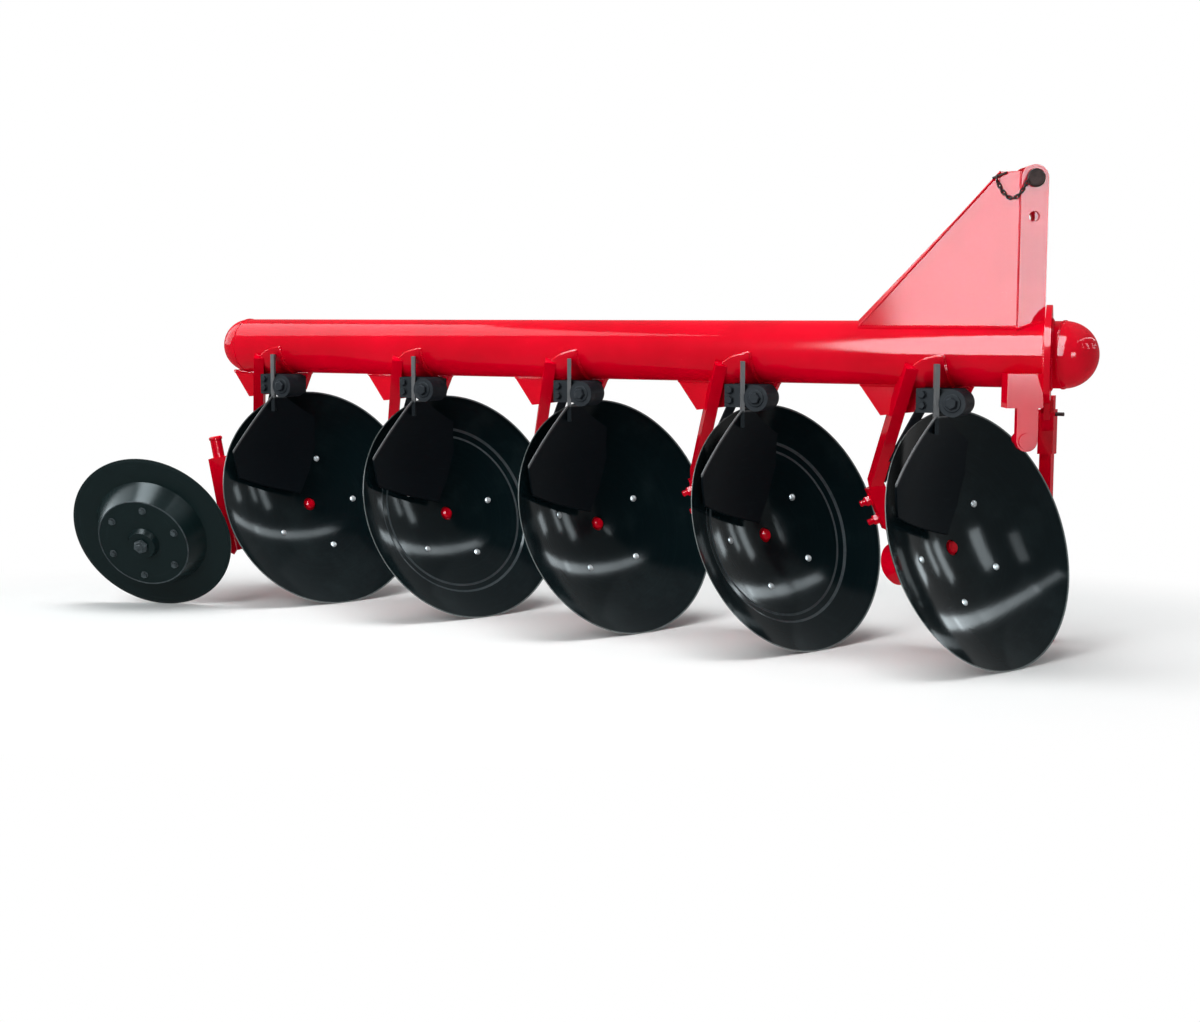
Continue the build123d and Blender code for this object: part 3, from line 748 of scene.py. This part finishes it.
class PLOUGH_OT_leg_bolts(Operator):
    """Bolts through the legs' pads, and the bearings' covers, bolts and grease nipples"""

    bl_idname = "plough.leg_bolts"
    bl_label = "Leg bolts"

    def execute(self, context):
        knee_setback, knee_offset, knee_height = 0.300, -0.085, 0.425
        foot_depth, pad_half, pad_drops = 0.250, 0.022, (0.030, 0.082)
        bolt, head, nut, stud = 0.024, 0.011, 0.013, 0.030
        head_turn, nut_turn = 0.4, 0.1
        flat, thread = (bolt * 0.72, 0.003), bolt * 0.32
        rim, plate, cap = 0.050, 0.007, 0.012
        cover = ((0, cap), (0.022, cap), (0.026, plate), (0.049, plate), (rim, 0.006), (rim, 0), (0, 0))
        cover_bolt, cover_circle, cover_turn = (0.012, 0.006), 0.038, 15
        nipple_ahead, nipple_rise, tip, base = 0.120, 0.0545, 0.016, 0.0045
        neck = ((0.0022, tip), (0.0034, 0.013), (0.0024, 0.010))
        stem = ((0, tip), *neck, (base, 0.008), (base, 0), (0, 0))
        painted, covers, plated_bolts = [], [], []
        for number, station in stations.items():
            centre = rims[number]
            knee = at(station - knee_setback, knee_offset, knee_height)
            down = unit(centre - disc_axis * foot_depth - knee)
            across = unit(travel - down * (travel @ down))
            for drop in pad_drops:
                front = knee + down * drop + across * pad_half
                rear = knee + down * drop - across * pad_half
                painted += headed(bolt, head, flat, front, across, head_turn)
                painted += headed(bolt, nut, flat, rear, -across, nut_turn)
                painted.append(rod(rear, rear - across * stud, thread))
            back = centre + disc_axis * span(f"bearing_{number}", disc_axis, centre)[0]
            covers.append(turned(cover, back, -disc_axis, 48))
            for angle in np.radians(np.arange(6) * 60 + cover_turn):
                seat = back + spoke(angle, disc_across, disc_rise) * cover_circle - disc_axis * plate
                plated_bolts.append(hexagon(*cover_bolt, seat, -disc_axis, angle))
            nipple = back + disc_axis * nipple_ahead + disc_rise * nipple_rise
            plated_bolts.append(turned(stem, nipple, disc_rise, 12))
        piece("pad_bolts", painted, "frame", "red_enamel")
        piece("bearing_covers", covers, "frame", "red_enamel")
        piece("bearing_bolts", plated_bolts, "frame", "zinc_plate")
        return {"FINISHED"}


class PLOUGH_OT_pin_chain(Operator):
    """Chain of the mast pin, hung from a ring in the fin's corner, and the pin's own ring"""

    bl_idname = "plough.pin_chain"
    bl_label = "Pin chain"

    def execute(self, context):
        wire = sizes().chain_wire
        hang_setback, hang_drop = 0.006, 0.024
        chain_end = np.array((-0.019, 0.004, -0.004))
        ring_rise, ring_radius, ring_step = 0.007, 0.0095, 0.002
        tee_rise, tee_proud = 0.010, 0.002
        tee_ends = ((-0.012, -0.008), (0.022, 0.004))
        loop_inset, loop_radius, loop_step = 0.006, 0.0195, 0.003
        fin = corners("mast_fin_right")
        crown = fin[fin[:, 2] > fin[:, 2].max() - 2 * face_tolerance]
        near = span("mast_fin_right", side, beam_middle)[1]
        corner_station = ((crown - beam_middle) @ along).min()
        hang = at(corner_station - hang_setback, near + wire * 2, fin[:, 2].max() - hang_drop)
        head_low, head_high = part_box("mast_pin")
        pin = np.array(((head_low.x + head_high.x) / 2, head_low.y, (head_low.z + head_high.z) / 2))
        links = self.links(hang, pin + chain_end, wire)
        ring_centre = hang + up * ring_rise
        ring = circle_path(ring_centre, along, ring_radius, ring_step)
        links.append(swept(ring, along, wire * 1.2, True, 8))
        tee = ring_centre + up * tee_rise + side * tee_proud
        links.append(rod(*(tee + along * ahead + up * rise for ahead, rise in tee_ends), wire * 1.6))
        loop = circle_path(pin + left * loop_inset, left, loop_radius, loop_step)
        links.append(swept(loop, left, wire * 1.3, True, 8))
        piece("pin_chain", links, "frame", "oiled_pin")
        self.linch_pin(np.array((pin[0], head_high.y, pin[2])))
        return {"FINISHED"}

    def links(self, hang, end, wire):
        """Links of a chain whose line drops by 4 sag s (1 - s), each a quarter turn from the one before."""
        pitch, reach, half_width = 0.0088, 0.0068, 0.0036
        share = np.linspace(0, 1, 80)[:, None]
        line = hang + (end - hang) * share - up * 4 * sizes().chain_sag * share * (1 - share)
        centres = even(line, pitch)
        angle = np.linspace(0, 2 * math.pi, 20, endpoint=False)
        straight = (reach - half_width) * np.sign(np.round(np.cos(angle), 6))
        stretch = half_width * np.cos(angle) + straight
        made = []
        for index, (centre, tangent) in enumerate(zip(centres, np.gradient(centres, axis=0))):
            run = unit(tangent)
            across = unit(np.cross(run, up))
            normal = np.cross(across, run)
            if index % 2:
                across, normal = normal, across
            path = centre + stretch[:, None] * run + half_width * np.sin(angle)[:, None] * across
            made.append(swept(path, normal, wire, True, 6))
        return made

    def linch_pin(self, pin_end):
        """Linch pin across the mast pin's far end, with its spring hoop."""
        inset, below, above, thickness = 0.008, 0.026, 0.030, 0.0035
        hoop_rise, hoop_radius, hoop_wire, hoop_step = 0.012, 0.019, 0.0016, 0.003
        hoop_way = up + along
        centre = pin_end - left * inset
        hoop = circle_path(centre + up * hoop_rise, hoop_way, hoop_radius, hoop_step)
        linch = [
            rod(centre - up * below, centre + up * above, thickness),
            swept(hoop, hoop_way, hoop_wire, True, 8),
        ]
        piece("linch_pin", linch, "frame", "zinc_plate")


class PLOUGH_OT_wheel_fittings(Operator):
    """Bolts, nut and lip of the furrow wheel, the lip a lighter ring as a painted highlight, and the knob on
    its post
    """

    bl_idname = "plough.wheel_fittings"
    bl_label = "Wheel fittings"

    def execute(self, context):
        cap_height, bolt_turn = 0.016, 20
        bolt, flat = (0.015, 0.007), (0.011, 0.002)
        nut, nut_turn, tip = (0.036, 0.012), 0.3, (0.012, 0.006)
        lip_wire, lip_step = 0.0020, 0.00886
        knob_sink = 0.009
        knob = ((0, 0.012), (0.016, 0.012), (0.0195, 0.009), (0.0195, 0.003), (0.016, 0), (0, 0))
        cap_face = span("furrow_wheel", wheel_axis, wheel_centre)[1]
        cap = wheel_centre + wheel_axis * cap_face
        plate = wheel_centre + wheel_axis * (cap_face - cap_height)
        first, second = crosswise(wheel_axis)
        bolts = []
        for angle in np.radians(np.arange(6) * 60 + bolt_turn):
            seat = plate + spoke(angle, first, second) * sizes().wheel_bolt_circle
            bolts += headed(*bolt, flat, seat, wheel_axis, angle)
        bolts.append(hexagon(*nut, cap, wheel_axis, nut_turn))
        bolts.append(dome(*tip, cap + wheel_axis * nut[1], wheel_axis))
        piece("wheel_bolts", bolts, "wheel", "wheel_bolt")
        # The lip takes the lighter bolt grey: a painted highlight along the plate's edge
        lip = circle_path(plate, wheel_axis, sizes().wheel_lip_highlight, lip_step)
        piece("wheel_lip_highlight", [swept(lip, wheel_axis, lip_wire, True)], "wheel", "wheel_bolt")
        post = spread("wheel_sleeve")[0]
        post = post * np.sign(post[2])
        crank = corners("wheel_crank")
        reach = crank @ post
        top = crank[reach > reach.max() - face_tolerance].mean(axis=0)
        made = turned(knob, top - post * knob_sink, post, 24)
        piece("post_knob", [made], "frame", "red_enamel")
        return {"FINISHED"}


# Height of the point that the lamps face, and the soft boxes: way there, distance, width and height
lit_height = 0.6
key_place = ((-0.60, -0.70, 0.45), 5.0, (2.4, 2.4))
top_place = ((-0.06, -0.12, 1.0), 4.5, (3.6, 2.2))
# Panels that show only as reflections: azimuth, elevation, width and height in degrees, share of the level
shine_panes = (
    (31.0, 10.5, 4.0, 4.5, 0.5),
    (18.5, 13.0, 2.6, 7.0, 0.6),
    (11.5, 16.5, 4.0, 10.0, 0.7),
    (-15.5, 21.5, 6.5, 13.0, 1.0),
    (-36.5, 26.0, 5.0, 11.0, 0.5),
    (4.0, 58.0, 60.0, 34.0, 0.025),
    (160.0, 30.0, 50.0, 56.0, 0.45),
)
glare_panels = (
    (235.5, 33.0, 34.0, 70.0, 1.0),
    (284.0, 3.0, 14.0, 10.0, 1.0),
    (284.5, -4.2, 13.0, 4.4, 0.33),
)
# A ceiling strip in parts: its middle's direction, the way it lies, and each part's place and share
strip_way = np.array((0.80, 0.026, 0.60))
strip_lay = np.array((0.199, 0.933, -0.298))
strip_parts = ((-0.68, 0.8), (-0.34, 1.1), (0.0, 0.95), (0.34, 0.75), (0.68, 0.55))
shine_distance = 60.0
shine_tint = (0.84, 0.95, 1.0)
strip_size = (0.055 * shine_distance, 0.34 * shine_distance)
# The floor: reach, colour, and the squeeze and distances of the oval past which it turns plain white
floor_reach = 40.0
floor_colour = (0.83, 0.855, 0.855, 1)
floor_squeeze = (0.62, 1.0, 0.0)
floor_fade = (0.85, 1.55)
plain_white = (1, 1, 1, 1)


def heading(turn, rise):
    """Direction of an azimuth and an elevation in degrees."""
    turn, rise = math.radians(turn), math.radians(rise)
    return math.cos(rise) * math.cos(turn), math.cos(rise) * math.sin(turn), math.sin(rise)


class PLOUGH_OT_stage(Operator):
    """White floor, soft studio light and the camera"""

    bl_idname = "plough.stage"
    bl_label = "Stage"

    def execute(self, context):
        studio = context.scene.plough_studio
        self.floor()
        self.world(studio)
        middle = np.array((beam_middle[0], beam_middle[1], lit_height))
        self.lamp("key_box", middle, *key_place, studio.key).visible_glossy = False
        self.lamp("top_box", middle, *top_place, studio.top).visible_glossy = False
        shine = []
        for place, share in strip_parts:
            way = strip_way + strip_lay * place
            reach = shine_distance * np.linalg.norm(way)
            shine.append(self.lamp("strip", middle, way, reach, strip_size, studio.strip * share, strip_lay))
        for *place, share in shine_panes:
            shine.append(self.panel("pane", middle, *place, studio.panes * share))
        for *place, share in glare_panels:
            shine.append(self.panel("glare", middle, *place, studio.glare * share))
        for made in shine:
            made.visible_diffuse = False
            made.data.color = shine_tint
        self.camera(studio)
        context.scene.view_settings.view_transform = "Standard"
        return {"FINISHED"}

    def seen(self, sheet):
        """Factor of 1 for camera, glossy and transmission rays."""
        path = sheet.tree.nodes.new("ShaderNodeLightPath")
        rays = [Shade(sheet.tree, path.outputs[name]) for name in
                ("Is Camera Ray", "Is Glossy Ray", "Is Transmission Ray")]
        return sheet.math("MAXIMUM", sheet.math("MAXIMUM", rays[0], rays[1]), rays[2])

    def floor(self):
        """Pale floor that keeps the plough's shadow and turns plain white further out."""
        reach = floor_reach
        mesh = bpy.data.meshes.new("floor")
        square = [(-reach, -reach, 0), (reach, -reach, 0), (reach, reach, 0), (-reach, reach, 0)]
        mesh.from_pydata(square, [], [(0, 1, 2, 3)])
        floor = bpy.data.objects.new("floor", mesh)
        bpy.context.scene.collection.objects.link(floor)
        material, sheet = start("floor_white")
        away = sheet.place().vector("MULTIPLY", floor_squeeze).vector("LENGTH", output=1)
        lit = sheet.node("ShaderNodeBsdfDiffuse", None, {"Color": floor_colour})
        glow = sheet.node("ShaderNodeEmission", None, {"Color": plain_white, "Strength": 1.0})
        factor = away.step(*floor_fade) * self.seen(sheet)
        mixed = sheet.node("ShaderNodeMixShader", None, {0: factor, 1: lit, 2: glow})
        sheet.node("ShaderNodeOutputMaterial", None, {"Surface": mixed})
        mesh.materials.append(material)
        floor.visible_glossy = False

    def world(self, studio):
        """White backdrop for camera, glossy and transmission rays, and soft light from all round."""
        world = bpy.data.worlds.new("studio")
        bpy.context.scene.world = world
        world.use_nodes = True
        world.node_tree.nodes.clear()
        sheet = Shade(world.node_tree)
        light, white = (
            sheet.node("ShaderNodeBackground", None, {"Color": plain_white, "Strength": strength})
            for strength in (studio.ambient, 1.0)
        )
        mixed = sheet.node("ShaderNodeMixShader", None, {0: self.seen(sheet), 1: light, 2: white})
        sheet.node("ShaderNodeOutputWorld", None, {"Surface": mixed})

    def lamp(self, name, target, way, distance, size, radiance, lay=(0, 0, 1)):
        """Area light of a radiance that faces a target from a way; its height lies along lay."""
        data = bpy.data.lights.new(name, "AREA")
        data.shape = "RECTANGLE"
        data.size, data.size_y = size
        data.energy = 4 * size[0] * size[1] * radiance
        made = bpy.data.objects.new(name, data)
        away = unit(way)
        first = unit(np.cross(lay, away))
        second = np.cross(away, first)
        place = target + away * distance
        columns = np.column_stack((first, second, away, place))
        made.matrix_world = Matrix(np.vstack((columns, (0, 0, 0, 1))).tolist())
        made.visible_camera = False
        bpy.context.scene.collection.objects.link(made)
        return made

    def panel(self, name, target, turn, rise, wide, tall, radiance):
        """Far panel at an azimuth and elevation, of a width and height, all in degrees from the target."""
        size = [2 * shine_distance * math.tan(math.radians(angle) / 2) for angle in (wide, tall)]
        return self.lamp(name, target, heading(turn, rise), shine_distance, size, radiance)

    def camera(self, studio):
        """Camera at the photograph's viewing angle."""
        data = bpy.data.cameras.new("camera")
        data.sensor_width = 36.0
        data.lens = studio.lens
        data.clip_end = 200.0
        made = bpy.data.objects.new("camera", data)
        made.location = (
            beam_middle[0] + studio.camera_aside, beam_middle[1] - studio.camera_back, studio.camera_height
        )
        made.rotation_euler = (math.pi / 2 - studio.camera_pitch, 0, 0)
        bpy.context.scene.collection.objects.link(made)
        bpy.context.scene.camera = made


operators = (
    PLOUGH_OT_finishes,
    PLOUGH_OT_welds,
    PLOUGH_OT_disc_bolts,
    PLOUGH_OT_scraper_bolts,
    PLOUGH_OT_leg_bolts,
    PLOUGH_OT_pin_chain,
    PLOUGH_OT_wheel_fittings,
    PLOUGH_OT_stage,
)


class PLOUGH_PT_looks(Panel):
    """Lists the steps that dress the plough"""

    bl_idname = "PLOUGH_PT_looks"
    bl_label = "Disc plough"
    bl_space_type = "VIEW_3D"
    bl_region_type = "UI"
    bl_category = "Plough"

    def draw(self, context):
        for operator in operators:
            self.layout.operator(operator.bl_idname)


classes = (PloughPaints, PloughSizes, PloughStudio) + operators + (PLOUGH_PT_looks,)


def register():
    """Register the classes and hang their properties on the scene."""
    for each in classes:
        bpy.utils.register_class(each)
    bpy.types.Scene.plough_paints = PointerProperty(type=PloughPaints)
    bpy.types.Scene.plough_sizes = PointerProperty(type=PloughSizes)
    bpy.types.Scene.plough_studio = PointerProperty(type=PloughStudio)


def unregister():
    """Take the properties off the scene and unregister the classes."""
    del bpy.types.Scene.plough_studio
    del bpy.types.Scene.plough_sizes
    del bpy.types.Scene.plough_paints
    for each in reversed(classes):
        bpy.utils.unregister_class(each)


def main():
    """Dress the plough step by step."""
    register()
    for operator in operators:
        family, name = operator.bl_idname.split(".")
        getattr(getattr(bpy.ops, family), name)()


if __name__ == "__main__":
    main()
